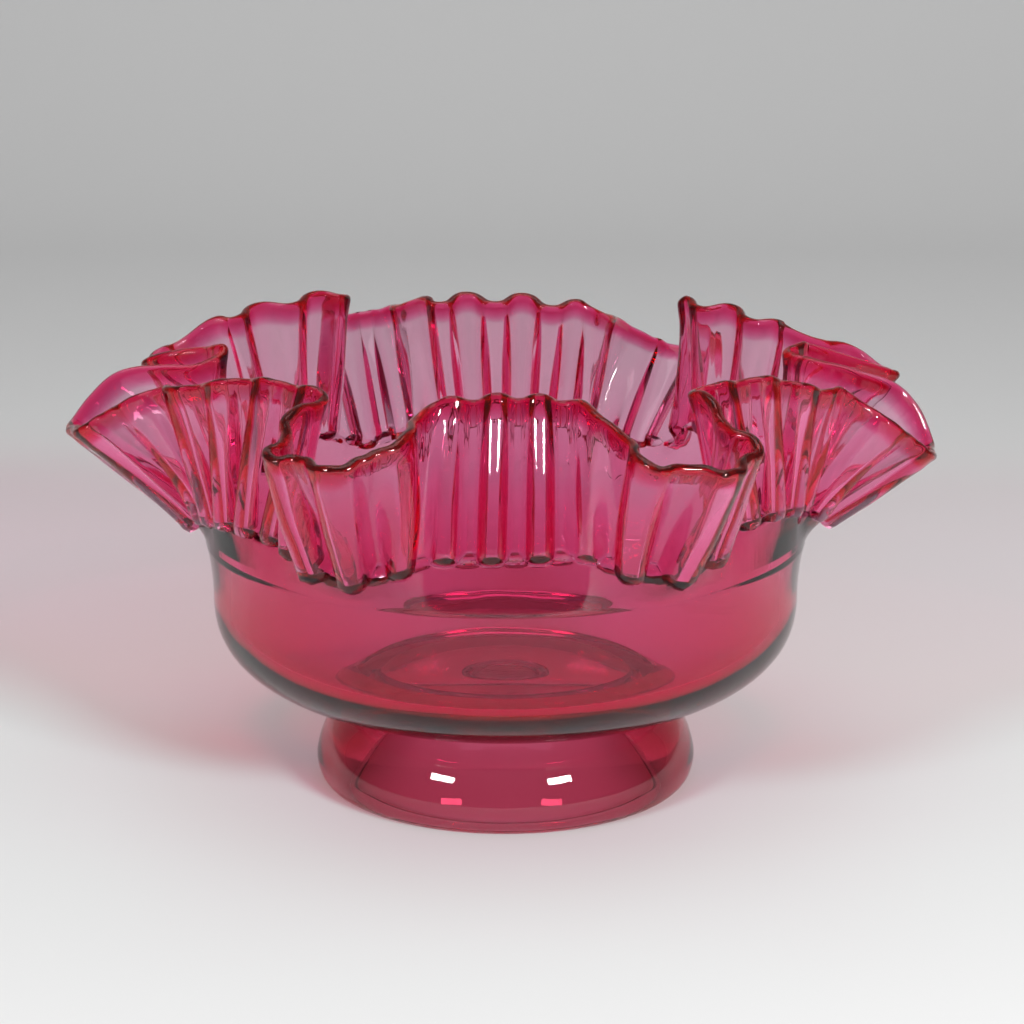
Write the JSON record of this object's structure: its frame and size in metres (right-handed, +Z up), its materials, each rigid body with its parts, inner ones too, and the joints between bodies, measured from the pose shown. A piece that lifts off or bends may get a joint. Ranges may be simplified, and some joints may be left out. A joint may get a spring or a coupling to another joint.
{
  "type": "glass bowl",
  "caption": "Footed cranberry glass bowl with a deep crimped frill that folds into lobes and crests over a round body",
  "frame": {"origin": "the centre of the foot's base, on the surface that the bowl stands on", "axes": "+Z is up the bowl's axis, -Y faces the camera of the picture, +X is to its right"},
  "size_m": [0.2498, 0.2104, 0.1344],
  "materials": {
    "clear_casing": "smooth, fire-polished",
    "ruby_lining": "smooth, fire-polished",
    "cranberry_frill": "smooth, fire-polished",
    "clear_foot": "smooth, fire-polished",
    "rough_glass": "rough where the iron was snapped off"
  },
  "bodies": {
    "root": {"body_casing": "clear_casing", "ruby_lining": "ruby_lining", "crimped_frill": "cranberry_frill", "foot_ring": "clear_foot", "pontil_scar": "rough_glass"}
  },
  "joints": []
}
